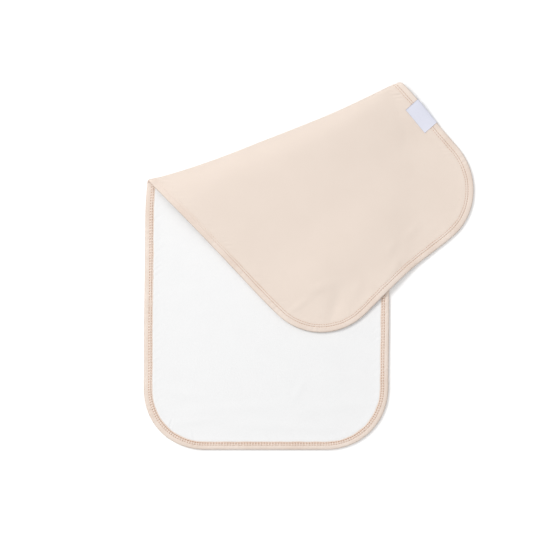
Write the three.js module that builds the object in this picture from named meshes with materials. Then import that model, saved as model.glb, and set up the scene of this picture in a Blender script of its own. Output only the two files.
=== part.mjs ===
// Burp cloth: a knit front and an absorbent back, bound all round, folded once on a slant.
// Millimetres, +Z up. The cloth is first laid out flat, u across it and v along it from the
// middle of its lower end, and foldedPoint() then folds it over as it lies on a surface.
import * as THREE from "three";

const { clamp, degToRad, smoothstep } = THREE.MathUtils;

// The finished cloth, laid flat
const CLOTH_WIDTH = 254;
const CLOTH_LENGTH = 533.5;
const CORNER_RADIUS = 66;

// Thickness of each piece, and the clearance kept between pieces
const FRONT_THICKNESS = 1.0;
const BACK_THICKNESS = 1.3;
const BINDING_THICKNESS = 0.8;
const LABEL_THICKNESS = 0.5;
const CLEARANCE = 0.3;

// The binding's legs, and the label folded over it on the right side of the flap
const BINDING_WIDTH = 8.8;
const LABEL_LENGTH = 30;
const LABEL_DEPTH = 16.6;
const LABEL_MIDDLE = 420;

// The fold: its slant, where it crosses the middle of the cloth, how far it bows inwards, and how
// far the cloth beside it is drawn outwards: [share along the fold, distance]
const FOLD_ANGLE = degToRad(20.7);
const FOLD_HEIGHT = 325.6;
const FOLD_BOW = 4.6;
const FOLD_BOW_SKEW = -1.05;
const FOLD_DRAWN = [
  [0, 0],
  [0.45, 0],
  [0.6, -1.1],
  [0.72, -2],
  [0.8, -1.9],
  [0.88, -0.9],
  [0.94, 0.2],
  [1, 1.6],
];
const DRAWN_WIDTH = 45;

// The turn along the fold, in tables by the share along it: a tight bend by its radius, then a
// stretch where the flap still rises and levels out, by how steeply it starts (in degrees) and by
// its length, and last the length of the flap's fall
const BEND_RADIUS = [
  [0, 3.4],
  [1, 4],
];
const RISE_TILT = [
  [0, 0],
  [0.12, 26],
  [0.3, 40],
  [0.7, 40],
  [0.9, 26],
  [1, 12],
];
const RISE_LENGTH = [
  [0, 26],
  [0.5, 27],
  [0.75, 20],
  [1, 10],
];
const RISE_POWER = 1.5;
const FALL_LENGTH = [
  [0, 150],
  [0.55, 150],
  [0.8, 90],
  [1, 45],
];

// How far the left and right side lie off a straight line: [place along the side, shift right]
const LEFT_SIDE = [
  [0, -5],
  [60, -0.5],
  [130, 0],
  [200, 1],
  [250, 1.5],
  [285, 4],
  [330, 7.9],
  [390, 11.4],
  [450, 13.8],
  [534, 20.5],
];
const RIGHT_SIDE = [
  [0, 2.4],
  [60, -0.3],
  [130, 0.3],
  [170, 0.4],
  [250, -0.5],
  [320, 4.2],
  [365, 11],
  [400, 13.1],
  [450, 13],
  [534, 12.8],
];

// How far the flap's end lies off a straight line: [place across the cloth, shift outwards]
const FLAP_END = [
  [-127, -0.8],
  [-60, -2.5],
  [0, -1.8],
  [30, 0.4],
  [60, 1.6],
  [127, 1],
];
const FLAP_END_FROM = 360;

// Offsets of each piece's faces from the middle of the cloth; the back side is positive
const FRONT_INNER = -CLEARANCE / 2;
const FRONT_OUTER = FRONT_INNER - FRONT_THICKNESS;
const BACK_INNER = CLEARANCE / 2;
const BACK_OUTER = BACK_INNER + BACK_THICKNESS;
const BOUND_FRONT_INNER = FRONT_OUTER - CLEARANCE;
const BOUND_FRONT_OUTER = BOUND_FRONT_INNER - BINDING_THICKNESS;
const BOUND_BACK_INNER = BACK_OUTER + CLEARANCE;
const BOUND_BACK_OUTER = BOUND_BACK_INNER + BINDING_THICKNESS;
const PANEL_INSET = BINDING_THICKNESS + CLEARANCE;

// Heights of the middle of the cloth: lying on the surface, where its edge is lifted by the
// binding below it, and the flap's, by the distance outside the lower layer's side. The flap
// rises from the lower panel over the binding, and on the right it comes down to the surface.
const LOW_HEIGHT = -FRONT_OUTER;
const EDGE_LIFT = FRONT_OUTER - BOUND_FRONT_OUTER;
const LIFT_LENGTH = 34;
const FLAP_ON_PANEL = LOW_HEIGHT + 2 * BACK_OUTER + 0.4;
const OVER_LEFT = [
  [-80, FLAP_ON_PANEL],
  [-14, 6.7],
  [20, 6.7],
];
const OVER_RIGHT = [
  [-115, FLAP_ON_PANEL],
  [-36, 7.4],
  [-10, 7],
  [2, 6.4],
  [13, 5.2],
  [28, 3.4],
  [48, 2.1],
  [70, BACK_OUTER],
];

// Soft swells and creases on the flap: [x, y, direction in degrees, half length, half width, height]
const CREASES = [
  [-2, 262, 59, 60, 32, 2.2],
  [84, 202, 50, 70, 42, 2.6],
  [44, 180, 48, 24, 13, 0.5],
];

// How finely the pieces are divided: columns of a panel by their distance from the edge and
// between those, spacing of its rows, and spacing of the sections round the edge
const EDGE_COLUMNS = [PANEL_INSET, 4, 7, 10, 16, 26];
const INNER_COLUMNS = 6;
const CORNER_ROWS = [0.3, 2, 6, 13, 24, 38, 57];
const FLAT_SPACING = 26;
const CURVED_SPACING = 12;
const FLAP_SPACING = 9;
const END_SPACING = 3;
const TURN_SPACING = 1.25;
const RISE_SPACING = 4;
const CORNER_SPACING = 9;
const SLOPE_SPACING = 7.5;
const CURVED_FROM = -75;
const TURN_FROM = -11;
const TURN_TO = 15;
const RISE_TO = 35;

const ALONG_FOLD = new THREE.Vector2(Math.cos(FOLD_ANGLE), Math.sin(FOLD_ANGLE));
const ACROSS_FOLD = new THREE.Vector2(-ALONG_FOLD.y, ALONG_FOLD.x);
const HALF_FOLD = CLOTH_WIDTH / 2 / ALONG_FOLD.x;

// The value at a place in a table of [place, value] rows, joined by smooth curves.
function readTable(table, place) {
  const last = table.length - 1;
  const at = clamp(place, table[0][0], table[last][0]);
  let k = 0;
  while (k < last - 1 && table[k + 1][0] < at) k++;
  const slopeAt = (n) => {
    const before = table[Math.max(n - 1, 0)];
    const after = table[Math.min(n + 1, last)];
    return (after[1] - before[1]) / (after[0] - before[0]);
  };
  const width = table[k + 1][0] - table[k][0];
  const f = (at - table[k][0]) / width;
  const g = 1 - f;
  return (
    table[k][1] * g * g * (1 + 2 * f) +
    table[k + 1][1] * f * f * (1 + 2 * g) +
    width * f * g * (slopeAt(k) * g - slopeAt(k + 1) * f)
  );
}

// How far inside the finished edge a flat point lies.
function edgeDistance(u, v) {
  const du = Math.abs(u) - CLOTH_WIDTH / 2 + CORNER_RADIUS;
  const dv = Math.abs(v - CLOTH_LENGTH / 2) - CLOTH_LENGTH / 2 + CORNER_RADIUS;
  const outside = Math.hypot(Math.max(du, 0), Math.max(dv, 0));
  return CORNER_RADIUS - outside - Math.min(Math.max(du, dv), 0);
}

// Height of the flap's middle where it has settled at x, y: on the lower layer, over that layer's
// bound sides, and down to the surface beyond its right side.
function flapRest(x, y) {
  const right = readTable(OVER_RIGHT, x - CLOTH_WIDTH / 2 - readTable(RIGHT_SIDE, y));
  const left = readTable(OVER_LEFT, -CLOTH_WIDTH / 2 + readTable(LEFT_SIDE, y) - x);
  return left > FLAP_ON_PANEL ? Math.max(left, right) : right;
}

// Where the cloth lies at an arc length past the bend's start: how far it has come back from the
// bend's start, how high it is above the lower layer, and the length past the rise.
function turnAt(share, past) {
  const radius = readTable(BEND_RADIUS, share);
  const tilt = degToRad(readTable(RISE_TILT, share));
  const length = readTable(RISE_LENGTH, share);
  const bend = radius * (Math.PI - tilt);
  const turn = clamp(past, 0, bend) / radius;
  const left = 1 - clamp((past - bend) / length, 0, 1);
  const total = (power) => (length * (1 - left ** (power * RISE_POWER + 1))) / (power * RISE_POWER + 1);
  const back = total(0) - (tilt ** 2 / 2) * total(2) + (tilt ** 4 / 24) * total(4);
  const beyond = Math.max(past - bend - length, 0);
  return {
    back: back + beyond - radius * Math.sin(turn),
    height: radius * (1 - Math.cos(turn)) + tilt * total(1) - (tilt ** 3 / 6) * total(3),
    beyond,
  };
}

// What the soft creases add at x, y.
function creaseHeight(x, y) {
  let height = 0;
  for (const [cx, cy, direction, halfLength, halfWidth, rise] of CREASES) {
    const c = Math.cos(degToRad(direction));
    const s = Math.sin(degToRad(direction));
    const lengthways = ((x - cx) * c + (y - cy) * s) / halfLength;
    const sideways = ((y - cy) * c - (x - cx) * s) / halfWidth;
    height += rise * Math.exp(-lengthways * lengthways - sideways * sideways);
  }
  return height;
}

// Where the middle of the cloth lies, for a flat point.
function foldedPoint(flatU, flatV) {
  const across = flatU / CLOTH_WIDTH + 0.5;
  const u = flatU + readTable(LEFT_SIDE, flatV) * (1 - across) + readTable(RIGHT_SIDE, flatV) * across;
  const v = flatV + readTable(FLAP_END, flatU) * smoothstep(flatV, FLAP_END_FROM, CLOTH_LENGTH);
  const a = u * ALONG_FOLD.x + (v - FOLD_HEIGHT) * ALONG_FOLD.y;
  const t = u * ACROSS_FOLD.x + (v - FOLD_HEIGHT) * ACROSS_FOLD.y;
  const inside = clamp((edgeDistance(flatU, flatV) - BINDING_WIDTH) / LIFT_LENGTH, 0, 1);
  const lift = EDGE_LIFT * (1 - inside) ** 2;
  const low = LOW_HEIGHT + lift;
  const share = clamp(a / (2 * HALF_FOLD) + 0.5, 0, 1);
  const side = 2 * share - 1;
  const tip = -FOLD_BOW * (1 - side * side) * (1 + FOLD_BOW_SKEW * side);
  const drawn = readTable(FOLD_DRAWN, share) * Math.exp(-(((t - tip) / DRAWN_WIDTH) ** 2));
  const bendFrom = tip - readTable(BEND_RADIUS, share);
  const { back, height, beyond } = turnAt(share, t - bendFrom);
  const q = (t < bendFrom ? t : bendFrom - back) + drawn;
  const x = a * ALONG_FOLD.x + q * ACROSS_FOLD.x;
  const y = FOLD_HEIGHT + a * ALONG_FOLD.y + q * ACROSS_FOLD.y;
  const top = low + height;
  const settled = smoothstep(beyond / readTable(FALL_LENGTH, share), 0, 1) ** 0.75;
  if (settled === 0) return new THREE.Vector3(x, y, top);
  const rest = flapRest(x, y) + lift + settled * creaseHeight(x, y);
  return new THREE.Vector3(x, y, top + (rest - top) * settled);
}

// The folded point moved off the middle of the cloth, towards the back side where w is positive.
function clothPoint(u, v, w) {
  const step = 0.05;
  const alongU = foldedPoint(u + step, v).sub(foldedPoint(u - step, v));
  const alongV = foldedPoint(u, v + step).sub(foldedPoint(u, v - step));
  const normal = alongU.cross(alongV).normalize();
  return foldedPoint(u, v).addScaledVector(normal, w);
}

// A closed solid from rings of points, each the same number of points round the solid. The
// last ring joins the first where closed, and otherwise both ends are capped by capFaces. The
// two halves of a ring are split along matching diagonals, so a sheet's two faces stay parallel.
function ringSolid(rings, closed, capFaces) {
  const perRing = rings[0].length;
  const index = [];
  const spans = closed ? rings.length : rings.length - 1;
  for (let i = 0; i < spans; i++) {
    const here = i * perRing;
    const next = ((i + 1) % rings.length) * perRing;
    for (let j = 0; j < perRing; j++) {
      const k = (j + 1) % perRing;
      if (j < perRing / 2) index.push(here + j, here + k, next + j, here + k, next + k, next + j);
      else index.push(here + j, here + k, next + k, here + j, next + k, next + j);
    }
  }
  if (!closed) {
    const end = (rings.length - 1) * perRing;
    for (const [p, q, r] of capFaces) {
      index.push(p, r, q);
      index.push(end + p, end + q, end + r);
    }
  }
  const geometry = new THREE.BufferGeometry().setFromPoints(rings.flat());
  geometry.setIndex(index);
  geometry.computeVertexNormals();
  return geometry;
}

// Rows across a panel, parallel to the fold: close together where the cloth turns and at its
// two outer corners, wider apart where it lies flat. The flap's end slopes, so its rows are closer.
function panelRows() {
  const cornerU = CLOTH_WIDTH / 2 - CORNER_RADIUS;
  const cornerV = CLOTH_LENGTH / 2 - CORNER_RADIUS;
  const middle = (CLOTH_LENGTH / 2 - FOLD_HEIGHT) * ACROSS_FOLD.y;
  const reach = cornerV * ACROSS_FOLD.y - cornerU * ACROSS_FOLD.x + CORNER_RADIUS - PANEL_INSET;
  const first = middle - reach;
  const last = middle + reach;
  const endSlopes = 48;
  const rows = CORNER_ROWS.map((step) => first + step);
  const fill = (to, spacing) => {
    const from = rows[rows.length - 1];
    const count = Math.ceil((to - from) / spacing);
    for (let i = 1; i <= count; i++) rows.push(from + ((to - from) * i) / count);
  };
  fill(CURVED_FROM, FLAT_SPACING);
  fill(TURN_FROM, CURVED_SPACING);
  fill(TURN_TO, TURN_SPACING);
  fill(RISE_TO, RISE_SPACING);
  fill(last - endSlopes, FLAP_SPACING);
  fill(last - 4, END_SPACING);
  rows.push(last - 1.8, last - 0.3);
  return rows;
}

// Flat points along the row at distance t from the fold. The columns at both ends follow the
// edge at the distances in EDGE_COLUMNS, or closer where the row is short.
function rowColumns(t) {
  const flatPoint = (a) => [
    a * ALONG_FOLD.x + t * ACROSS_FOLD.x,
    FOLD_HEIGHT + a * ALONG_FOLD.y + t * ACROSS_FOLD.y,
  ];
  const depth = (a) => edgeDistance(...flatPoint(a));
  let [low, high] = [-CLOTH_LENGTH, CLOTH_LENGTH];
  for (let i = 0; i < 80; i++) {
    const [one, two] = [low + (high - low) / 3, high - (high - low) / 3];
    if (depth(one) < depth(two)) low = one;
    else high = two;
  }
  const deepest = (low + high) / 2;
  const most = depth(deepest);
  const crossing = (distance, outside) => {
    let [inner, outer] = [deepest, outside];
    for (let i = 0; i < 50; i++) {
      const middle = (inner + outer) / 2;
      if (depth(middle) > distance) inner = middle;
      else outer = middle;
    }
    return inner;
  };
  const ledge = EDGE_COLUMNS.length - 1;
  const room = (most - PANEL_INSET) * 0.8;
  const levels = EDGE_COLUMNS.map((distance, i) =>
    Math.min(distance, PANEL_INSET + (room * i) / ledge),
  );
  const left = levels.map((distance) => crossing(distance, -CLOTH_LENGTH));
  const right = levels.map((distance) => crossing(distance, CLOTH_LENGTH)).reverse();
  const inner = [];
  for (let i = 1; i <= INNER_COLUMNS; i++)
    inner.push(left[ledge] + ((right[0] - left[ledge]) * i) / (INNER_COLUMNS + 1));
  return [...left, ...inner, ...right].map(flatPoint);
}

// One panel of the cloth between two offsets from its middle.
function panelGeometry(inner, outer) {
  const [top, under] = [Math.max(inner, outer), Math.min(inner, outer)];
  const rings = panelRows().map((t) => {
    const columns = rowColumns(t);
    const upper = columns.map(([u, v]) => clothPoint(u, v, top));
    const lower = columns.map(([u, v]) => clothPoint(u, v, under));
    return [...upper, ...lower.reverse()];
  });
  const count = rings[0].length;
  const caps = [];
  for (let j = 0; j < count / 2 - 1; j++) {
    const [p, q] = [count - 1 - j, count - 2 - j];
    caps.push([j, j + 1, p], [j + 1, q, p]);
  }
  return ringSolid(rings, false, caps);
}

// The flat point and inward direction at a distance round the finished edge, from the middle
// of the lower end and counter-clockwise.
const STRAIGHT_END = CLOTH_WIDTH / 2 - CORNER_RADIUS;
const STRAIGHT_SIDE = CLOTH_LENGTH - 2 * CORNER_RADIUS;
const CORNER_LENGTH = (Math.PI / 2) * CORNER_RADIUS;
const HALF_PERIMETER = 2 * STRAIGHT_END + STRAIGHT_SIDE + 2 * CORNER_LENGTH;

function edgeAt(distance) {
  if (distance >= HALF_PERIMETER) {
    const { point, inward } = edgeAt(distance - HALF_PERIMETER);
    return {
      point: new THREE.Vector2(-point.x, CLOTH_LENGTH - point.y),
      inward: inward.negate(),
    };
  }
  const corner = (centre, from, length) => {
    const angle = from + length / CORNER_RADIUS;
    const outward = new THREE.Vector2(Math.cos(angle), Math.sin(angle));
    return { point: centre.addScaledVector(outward, CORNER_RADIUS), inward: outward.negate() };
  };
  const toSide = STRAIGHT_END + CORNER_LENGTH;
  const toTop = toSide + STRAIGHT_SIDE;
  const toEnd = toTop + CORNER_LENGTH;
  if (distance < STRAIGHT_END)
    return { point: new THREE.Vector2(distance, 0), inward: new THREE.Vector2(0, 1) };
  if (distance < toSide)
    return corner(
      new THREE.Vector2(STRAIGHT_END, CORNER_RADIUS),
      -Math.PI / 2,
      distance - STRAIGHT_END,
    );
  if (distance < toTop)
    return {
      point: new THREE.Vector2(CLOTH_WIDTH / 2, CORNER_RADIUS + distance - toSide),
      inward: new THREE.Vector2(-1, 0),
    };
  if (distance < toEnd)
    return corner(new THREE.Vector2(STRAIGHT_END, CLOTH_LENGTH - CORNER_RADIUS), 0, distance - toTop);
  return {
    point: new THREE.Vector2(STRAIGHT_END + toEnd - distance, CLOTH_LENGTH),
    inward: new THREE.Vector2(0, -1),
  };
}

// A section of [distance in from the edge, offset from the middle] points, placed at a distance
// round the edge.
function sectionRing(section, distance) {
  const { point, inward } = edgeAt(distance);
  return section.map(([depth, w]) =>
    clothPoint(point.x + inward.x * depth, point.y + inward.y * depth, w),
  );
}

// Distances round the edge, close together where the cloth turns, closer in the corners than
// along the straight sides.
function edgeStations() {
  const half = [STRAIGHT_END, CORNER_LENGTH, STRAIGHT_SIDE, CORNER_LENGTH, STRAIGHT_END];
  const stations = [];
  let distance = 0;
  let stretchEnd = 0;
  for (const length of [...half, ...half]) {
    stretchEnd += length;
    while (distance < stretchEnd - 0.01) {
      stations.push(distance);
      const { point } = edgeAt(distance);
      const t = point.x * ACROSS_FOLD.x + (point.y - FOLD_HEIGHT) * ACROSS_FOLD.y;
      let step = length === CORNER_LENGTH ? CORNER_SPACING : FLAT_SPACING;
      if (t > CURVED_FROM - FLAT_SPACING) step = SLOPE_SPACING;
      if (t > TURN_FROM && t < TURN_TO) step = TURN_SPACING;
      distance = Math.min(distance + step, stretchEnd);
    }
  }
  return stations;
}

function bindingGeometry() {
  const half = BINDING_WIDTH / 2;
  const wall = BINDING_THICKNESS;
  const section = [
    [BINDING_WIDTH, BOUND_FRONT_INNER],
    [half, BOUND_FRONT_INNER],
    [wall, BOUND_FRONT_INNER],
    [wall, BOUND_BACK_INNER],
    [half, BOUND_BACK_INNER],
    [BINDING_WIDTH, BOUND_BACK_INNER],
    [BINDING_WIDTH, BOUND_BACK_OUTER],
    [half, BOUND_BACK_OUTER],
    [1.2, BOUND_BACK_OUTER],
    [0, BOUND_BACK_OUTER - 1.5],
    [0, BOUND_FRONT_OUTER + 1.5],
    [1.2, BOUND_FRONT_OUTER],
    [half, BOUND_FRONT_OUTER],
    [BINDING_WIDTH, BOUND_FRONT_OUTER],
  ];
  return ringSolid(edgeStations().map((place) => sectionRing(section, place)), true);
}

function labelGeometry() {
  const shelf = BINDING_WIDTH + 0.8;
  const edge = -CLEARANCE;
  const [frontOver, backOver] = [BOUND_FRONT_OUTER - CLEARANCE, BOUND_BACK_OUTER + CLEARANCE];
  const [frontEnd, backEnd] = [FRONT_OUTER - CLEARANCE, BACK_OUTER + CLEARANCE];
  const inner = [
    [LABEL_DEPTH, frontEnd],
    [shelf, frontOver],
    [0.6, frontOver],
    [edge, frontOver + 1.2],
    [edge, backOver - 1.2],
    [0.6, backOver],
    [shelf, backOver],
    [LABEL_DEPTH, backEnd],
  ];
  const outer = inner.map(([depth, w]) => [
    depth > edge ? depth : edge - LABEL_THICKNESS,
    depth > edge ? w + Math.sign(w) * LABEL_THICKNESS : w + Math.sign(w) * 0.2,
  ]);
  const section = [...inner, ...outer.reverse()];
  const cornerToLabel = STRAIGHT_END + CORNER_LENGTH + LABEL_MIDDLE - CORNER_RADIUS;
  const steps = 10;
  const rings = [];
  for (let i = 0; i <= steps; i++)
    rings.push(sectionRing(section, cornerToLabel + LABEL_LENGTH * (i / steps - 0.5)));
  const caps = [];
  for (let j = 0; j < inner.length - 1; j++) {
    const [p, q] = [section.length - 1 - j, section.length - 2 - j];
    caps.push([j, j + 1, p], [j + 1, q, p]);
  }
  return ringSolid(rings, false, caps);
}

function clothMesh(name, geometry, colour, roughness) {
  const material = new THREE.MeshStandardMaterial({ color: colour, roughness, metalness: 0 });
  material.name = name + "_cloth";
  const mesh = new THREE.Mesh(geometry, material);
  mesh.name = name;
  return mesh;
}

const burpCloth = new THREE.Group();
burpCloth.add(
  clothMesh("front_panel", panelGeometry(FRONT_INNER, FRONT_OUTER), 0xeadacd, 0.9),
  clothMesh("back_panel", panelGeometry(BACK_INNER, BACK_OUTER), 0xf7f7f7, 0.95),
  clothMesh("binding", bindingGeometry(), 0xe8d2c3, 0.9),
  clothMesh("label", labelGeometry(), 0xdedeee, 0.7),
);

// The origin is under the middle of the folded cloth.
const box = new THREE.Box3().setFromObject(burpCloth, true);
const centre = box.getCenter(new THREE.Vector3());
burpCloth.position.set(-centre.x, -centre.y, -box.min.z);

export default burpCloth;
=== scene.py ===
import bpy
import numpy as np
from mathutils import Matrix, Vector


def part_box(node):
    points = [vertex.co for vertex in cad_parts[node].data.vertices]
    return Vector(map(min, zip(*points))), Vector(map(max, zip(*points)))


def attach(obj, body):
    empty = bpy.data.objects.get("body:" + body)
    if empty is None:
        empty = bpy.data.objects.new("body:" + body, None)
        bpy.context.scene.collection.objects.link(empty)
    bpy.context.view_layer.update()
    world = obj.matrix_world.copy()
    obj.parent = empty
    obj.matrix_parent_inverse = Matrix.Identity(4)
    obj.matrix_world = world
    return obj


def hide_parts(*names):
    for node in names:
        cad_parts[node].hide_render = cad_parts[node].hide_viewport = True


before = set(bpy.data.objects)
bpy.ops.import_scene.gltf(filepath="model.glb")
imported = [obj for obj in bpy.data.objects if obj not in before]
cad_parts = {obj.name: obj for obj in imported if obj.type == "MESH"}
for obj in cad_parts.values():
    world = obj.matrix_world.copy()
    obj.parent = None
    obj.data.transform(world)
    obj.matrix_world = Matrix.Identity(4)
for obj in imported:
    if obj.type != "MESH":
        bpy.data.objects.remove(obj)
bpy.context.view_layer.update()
MM = 0.001
SEED = 7

# The finished cloth laid flat, and its layers: the panels' thickness, the offsets of their outer
# faces and of the binding's front, and how far the panels stop short of the finished edge
CLOTH_WIDTH = 254.0
CLOTH_LENGTH = 533.5
CORNER_RADIUS = 66.0
HALF_GAP = 0.15
FRONT_THICKNESS = 1.0
BACK_THICKNESS = 1.3
FRONT_OUTER = -HALF_GAP - FRONT_THICKNESS
BACK_OUTER = HALF_GAP + BACK_THICKNESS
BOUND_FRONT = -1.75
BINDING_WIDTH = 8.8
PANEL_INSET = 1.1

# The fold: its slant, where it crosses the middle of the cloth, how far it bows inwards, and how
# far the cloth beside it is drawn outwards, by the share along the fold
FOLD_ANGLE = np.radians(20.7)
FOLD_HEIGHT = 325.6
FOLD_BOW = 4.6
FOLD_BOW_SKEW = -1.05
FOLD_DRAWN = [
    (0, 0), (0.45, 0), (0.6, -1.1), (0.72, -2), (0.8, -1.9), (0.88, -0.9), (0.94, 0.2), (1, 1.6),
]
DRAWN_WIDTH = 45.0

# The turn along the fold, in tables by the share along it: a tight bend by its radius, then a
# stretch where the flap still rises and levels out, by how steeply it starts and by its length,
# and last the length of the flap's fall, which a power under one brings on sooner
BEND_RADIUS = [(0, 2.7), (0.25, 3.4), (0.85, 3.9), (1, 3.2)]
RISE_TILT = [(0, 0), (0.12, 26), (0.3, 40), (0.7, 40), (0.9, 24), (1, 4)]
RISE_LENGTH = [(0, 26), (0.5, 27), (0.75, 20), (1, 10)]
RISE_POWER = 1.5
FALL_LENGTH = [(0, 45), (0.25, 110), (0.55, 150), (0.8, 90), (1, 45)]
FALL_POWER = 0.75

# How far the left and right side lie off a straight line: (place along the side, shift right)
LEFT_SIDE = [
    (0, -5), (60, -0.5), (130, 0), (200, 1), (250, 1.5),
    (285, 4), (330, 7.9), (390, 11.4), (450, 13.8), (534, 20.5),
]
RIGHT_SIDE = [
    (0, 2.4), (60, -0.3), (130, 0.3), (170, 0.4), (250, -0.5),
    (320, 4.2), (365, 11), (400, 13.1), (450, 13), (534, 12.8),
]

# How far the flap's end lies off a straight line: (place across the cloth, shift outwards)
FLAP_END = [(-127, -0.8), (-60, -2.5), (0, -1.8), (30, 0.4), (60, 1.6), (127, 1)]
FLAP_END_FROM = 360.0

# The height of the lower layer's middle, how much more it is at the binding, which is thicker than
# the panel, and how far from the binding it starts to rise
LOW_HEIGHT = -FRONT_OUTER
EDGE_LIFT = FRONT_OUTER - BOUND_FRONT
LIFT_LENGTH = 34.0

# The height of the flap's middle: (distance outside the lower layer's side, height). It rises from
# the lower panel over the binding, and on the right it comes down to the surface. At its lower
# corner it lies on the panel until close to the binding, and that ends between LOW_CORNER's two
# places along y.
FLAP_CLEARANCE = 0.25
FLAP_ON_PANEL = LOW_HEIGHT + 2 * BACK_OUTER + FLAP_CLEARANCE
OVER_LEFT = [(-80, FLAP_ON_PANEL), (-14, 5.9), (20, 5.9)]
OVER_RIGHT = [
    (-115, FLAP_ON_PANEL), (-36, 6.7), (-10, 6.2), (2, 5.5),
    (13, 4.3), (28, 2.8), (48, 1.9), (70, BACK_OUTER),
]
OVER_LOW_RIGHT = [
    (-60, FLAP_ON_PANEL), (-26, 4.6), (-9, 5.8), (1, 5.5),
    (13, 4.2), (28, 2.7), (48, 1.8), (70, BACK_OUTER),
]
LOW_CORNER = (150.0, 215.0)

# Soft creases: (x, y, direction in degrees, half length, half width, height)
FLAP_CREASES = [
    (-2, 262, 59, 60, 32, 2.2),
    (80, 210, 50, 66, 34, 2.9),
    (44, 180, 48, 24, 13, 0.5),
    (71, 148, 75, 18, 7, -1.4),
    (34, 150, 38, 14, 3.5, 0.7),
    (54, 168, 20, 14, 5, 0.7),
    (93, 166, 60, 10, 5, 0.5),
    (134, 191, 50, 12, 4, 0.5),
    (129, 210, 50, 9, 4, 0.4),
    (150, 226, 45, 10, 4, 0.4),
    (126, 336, 100, 16, 6, 0.5),
]
LOWER_CREASES = [
    (-40, 42, 4, 60, 6, 0.4),
    (20, 24, -3, 70, 5, 0.35),
    (70, 44, 8, 40, 6, 0.35),
    (34, 62, 62, 12, 4, 0.35),
    (-86, 58, -12, 22, 5, 0.45),
    (-70, 30, 6, 34, 4, 0.35),
]

ALONG_FOLD = np.array([np.cos(FOLD_ANGLE), np.sin(FOLD_ANGLE)])
ACROSS_FOLD = np.array([-ALONG_FOLD[1], ALONG_FOLD[0]])
HALF_FOLD = CLOTH_WIDTH / 2 / ALONG_FOLD[0]


def smoothstep(value, low, high):
    f = np.clip((value - low) / (high - low), 0, 1)
    return f * f * (3 - 2 * f)


def near(value, place, half_width):
    """1 at a place, fading out to 0 either side of it."""
    return np.exp(-(((value - place) / half_width) ** 2))


def read_table(table, place):
    """The value at each place in a table of (place, value) rows, joined by smooth curves."""
    rows, values = np.array(table, float).T
    last = len(rows) - 1
    before = np.maximum(np.arange(last + 1) - 1, 0)
    after = np.minimum(np.arange(last + 1) + 1, last)
    slopes = (values[after] - values[before]) / (rows[after] - rows[before])
    at = np.clip(place, rows[0], rows[-1])
    k = np.clip(np.searchsorted(rows, at) - 1, 0, last - 1)
    width = rows[k + 1] - rows[k]
    f = (at - rows[k]) / width
    g = 1 - f
    return (
        values[k] * g * g * (1 + 2 * f)
        + values[k + 1] * f * f * (1 + 2 * g)
        + width * f * g * (slopes[k] * g - slopes[k + 1] * f)
    )


def edge_distance(u, v):
    """How far inside the finished edge a flat point lies."""
    du = np.abs(u) - CLOTH_WIDTH / 2 + CORNER_RADIUS
    dv = np.abs(v - CLOTH_LENGTH / 2) - CLOTH_LENGTH / 2 + CORNER_RADIUS
    outside = np.hypot(np.maximum(du, 0), np.maximum(dv, 0))
    return CORNER_RADIUS - outside - np.minimum(np.maximum(du, dv), 0)


def creases(table, x, y):
    """The height that a table of soft creases adds at x, y."""
    height = np.zeros_like(x)
    for cx, cy, direction, half_length, half_width, rise in table:
        c, s = np.cos(np.radians(direction)), np.sin(np.radians(direction))
        lengthways = ((x - cx) * c + (y - cy) * s) / half_length
        sideways = ((y - cy) * c - (x - cx) * s) / half_width
        height += rise * np.exp(-lengthways**2 - sideways**2)
    return height


def flap_rest(x, y):
    """Height of the flap's middle: on the lower layer, over its bound sides, and down beside it."""
    outside = x - CLOTH_WIDTH / 2 - read_table(RIGHT_SIDE, y)
    right, low_right = read_table(OVER_RIGHT, outside), read_table(OVER_LOW_RIGHT, outside)
    right = low_right + (right - low_right) * smoothstep(y, *LOW_CORNER)
    left = read_table(OVER_LEFT, -CLOTH_WIDTH / 2 + read_table(LEFT_SIDE, y) - x)
    return np.where(left > FLAP_ON_PANEL, np.maximum(left, right), right)


def turn_at(share, past, tip):
    """Where the cloth lies across the fold, an arc length past the bend's start: the distance from
    the fold, the height, and the length past the rise. share is the place along the fold."""
    radius = read_table(BEND_RADIUS, share)
    tilt = np.radians(read_table(RISE_TILT, share))
    length = read_table(RISE_LENGTH, share)
    bend = radius * (np.pi - tilt)
    turn = np.clip(past, 0, bend) / radius
    left = 1 - np.clip((past - bend) / length, 0, 1)

    def total(power):
        """The integral of the tilt's share, left**RISE_POWER, raised to a power."""
        return length * (1 - left ** (power * RISE_POWER + 1)) / (power * RISE_POWER + 1)

    inwards = total(0) - tilt**2 / 2 * total(2) + tilt**4 / 24 * total(4)
    upwards = tilt * total(1) - tilt**3 / 6 * total(3)
    beyond = np.maximum(past - bend - length, 0)
    q = tip - radius + radius * np.sin(turn) - inwards - beyond
    return q, radius * (1 - np.cos(turn)) + upwards, beyond


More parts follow.
